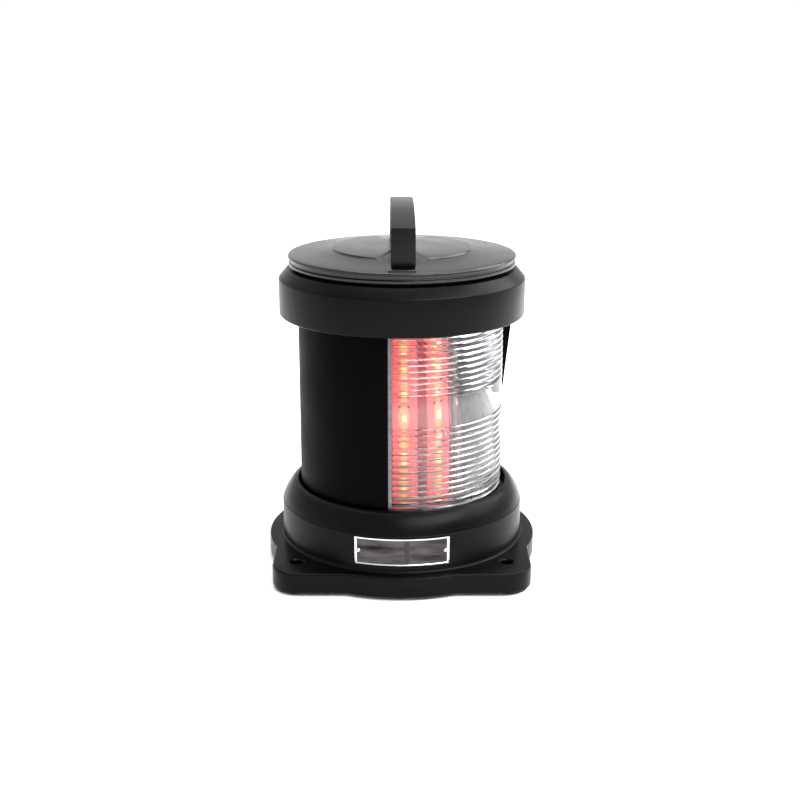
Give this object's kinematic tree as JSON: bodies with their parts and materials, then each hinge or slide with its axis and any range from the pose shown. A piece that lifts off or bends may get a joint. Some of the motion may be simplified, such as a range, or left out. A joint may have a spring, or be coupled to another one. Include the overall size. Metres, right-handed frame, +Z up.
{
  "type": "marine navigation light",
  "caption": "Single-deck ship's side light: eared base, drum lens behind a black sector screen, red LED column, bayonet lid with strap handle.",
  "frame": {"origin": "on the lantern's vertical axis, in the plane of the deck under the foot pads and the bottom cover", "axes": "+Z up along the lantern's axis, -Y to the front with the rating plate, +X to the side on which most of the lit sector lies"},
  "size_m": [0.2514, 0.2672, 0.3344],
  "materials": {
    "black_nylon": "satin moulded nylon",
    "gloss_black_nylon": "semi-gloss moulded nylon",
    "screen_black": "smooth black",
    "clear_lens": "clear polished",
    "rubber": "matt",
    "stainless": "plain",
    "aluminium": "extruded",
    "plate_metal": "polished",
    "board_white": "solder mask with red LEDs",
    "driver_grey": "moulded",
    "terminal_cream": "moulded",
    "lead_red": "pvc",
    "lead_black": "pvc"
  },
  "bodies": {
    "housing": {"mounting_base": "black_nylon", "bottom_cover": "black_nylon", "bottom_cover_seal": "rubber", "cover_screw_1": "stainless", "cover_screw_2": "stainless", "cover_screw_3": "stainless", "cover_screw_4": "stainless", "foot_pad_1": "rubber", "foot_pad_2": "rubber", "foot_pad_3": "rubber", "foot_pad_4": "rubber", "gland_body": "black_nylon", "gland_locknut": "black_nylon", "gland_seal": "rubber", "gland_nut": "black_nylon", "rating_plate": "plate_metal", "plate_rivet_1": "aluminium", "plate_rivet_2": "aluminium", "lens": "clear_lens", "lower_lens_seal": "rubber", "upper_lens_seal": "rubber", "sector_screen": "screen_black", "cap_ring": "black_nylon", "tie_rod_1": "stainless", "tie_rod_2": "stainless", "tie_rod_3": "stainless", "lower_rod_nut_1": "stainless", "lower_rod_nut_2": "stainless", "lower_rod_nut_3": "stainless", "upper_rod_nut_1": "stainless", "upper_rod_nut_2": "stainless", "upper_rod_nut_3": "stainless", "lamp_carrier": "aluminium", "carrier_screw_1": "stainless", "carrier_screw_2": "stainless", "led_column": "aluminium", "column_cap": "aluminium", "led_board_1": "board_white", "led_board_2": "board_white", "led_board_3": "board_white", "led_board_4": "board_white", "led_driver": "driver_grey", "terminal_block": "terminal_cream", "earth_screw": "stainless", "lead_positive": "lead_red", "lead_negative": "lead_black"},
    "seal": {"lid_seal": "rubber"},
    "lid": {"lid": "gloss_black_nylon", "bayonet_skirt": "black_nylon", "handle": "black_nylon", "handle_screw_1": "stainless", "handle_screw_2": "stainless"}
  },
  "joints": [
    {"name": "lid_lift", "type": "slide", "parent": "housing", "child": "seal", "axis": [0, 0, 1], "range_m": [0, 0.06]},
    {"name": "lid_turn", "type": "hinge", "parent": "seal", "child": "lid", "pos_m": [0, 0, 0.2778], "axis": [0, 0, -1], "range_deg": [0, 40]}
  ]
}
